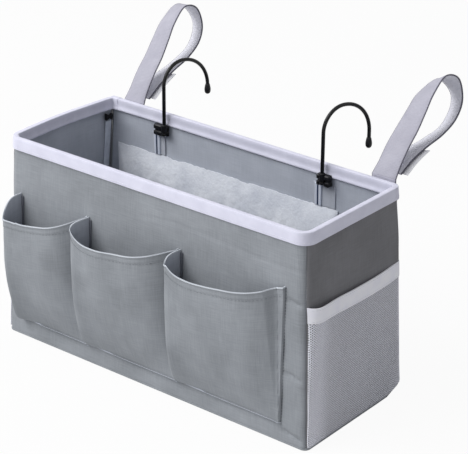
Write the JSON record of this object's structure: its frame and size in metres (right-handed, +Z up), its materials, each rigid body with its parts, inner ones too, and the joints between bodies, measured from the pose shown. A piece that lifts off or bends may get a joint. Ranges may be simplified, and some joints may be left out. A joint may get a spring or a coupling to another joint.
{
  "type": "bedside storage basket",
  "caption": "Fabric-covered hanging storage box with front pockets, net end pockets, wire hooks and strap loops that hold it on a rail.",
  "frame": {"origin": "middle of the underside of the box", "axes": "+X along the long side to the right seen from the front, +Y from the front to the back where the hooks and straps are, +Z up"},
  "size_m": [0.4148, 0.3185, 0.3261],
  "materials": {
    "front_cloth": "plain woven slub cloth, mid grey, matt",
    "side_cloth": "plain woven slub cloth, dark grey, matt",
    "binding_tape": "white woven binding tape with fine ribs",
    "net": "fine pale net",
    "webbing": "flat polyester webbing, pale grey with dark edges",
    "touch_tape": "hook-and-loop tape, pale grey",
    "tab_cloth": "light grey woven tab",
    "pad": "soft white brushed pad, mottled",
    "hook_coating": "black dipped coating, satin",
    "black_moulding": "black moulded plastic, satin",
    "bright_plate": "bright thin steel",
    "stay_strip": "pale plastic strip",
    "board": "grey covered stiff board"
  },
  "bodies": {
    "basket": {"bottom_panel": "front_cloth", "front_panel": "front_cloth", "back_panel": "front_cloth", "base_board": "board", "rim_binding": "binding_tape", "back_pad": "pad", "corner_seam_front_left": "front_cloth", "corner_seam_front_right": "front_cloth", "corner_seam_back_left": "front_cloth", "corner_seam_back_right": "front_cloth", "front_pocket_1": "front_cloth", "front_pocket_2": "front_cloth", "front_pocket_3": "front_cloth", "left_panel": "side_cloth", "net_left": "net", "net_tape_left": "binding_tape", "net_edge_left_front": "side_cloth", "net_edge_left_back": "side_cloth", "hook_tab_left": "tab_cloth", "hook_plate_left": "bright_plate", "hook_bracket_left": "black_moulding", "corner_stay_left": "stay_strip", "corner_stay_cap_left": "black_moulding", "strap_tail_left": "webbing", "right_panel": "side_cloth", "net_right": "net", "net_tape_right": "binding_tape", "net_edge_right_front": "side_cloth", "net_edge_right_back": "side_cloth", "hook_tab_right": "tab_cloth", "hook_plate_right": "bright_plate", "hook_bracket_right": "black_moulding", "corner_stay_right": "stay_strip", "corner_stay_cap_right": "black_moulding", "strap_tail_right": "webbing"},
    "hook_left": {"hook_wire_left": "hook_coating", "hook_tip_left": "black_moulding"},
    "strap_left": {"strap_loop_left": "webbing", "strap_patch_left": "touch_tape"},
    "hook_right": {"hook_wire_right": "hook_coating", "hook_tip_right": "black_moulding"},
    "strap_right": {"strap_loop_right": "webbing", "strap_patch_right": "touch_tape"}
  },
  "joints": [
    {"name": "hook_left_swivel", "type": "hinge", "parent": "basket", "child": "hook_left", "pos_m": [-0.10567, 0.068, 0.213], "axis": [0, 0, 1], "range_deg": [-200, 20]},
    {"name": "hook_right_swivel", "type": "hinge", "parent": "basket", "child": "hook_right", "pos_m": [0.10567, 0.068, 0.213], "axis": [0, 0, 1], "range_deg": [-30, 235]},
    {"name": "strap_left_swing", "type": "hinge", "parent": "basket", "child": "strap_left", "pos_m": [-0.1585, 0.07955, 0.2303], "axis": [1, 0, 0], "range_deg": [-50, 75]},
    {"name": "strap_right_swing", "type": "hinge", "parent": "basket", "child": "strap_right", "pos_m": [0.173, 0.07955, 0.2303], "axis": [1, 0, 0], "range_deg": [-50, 75]}
  ]
}
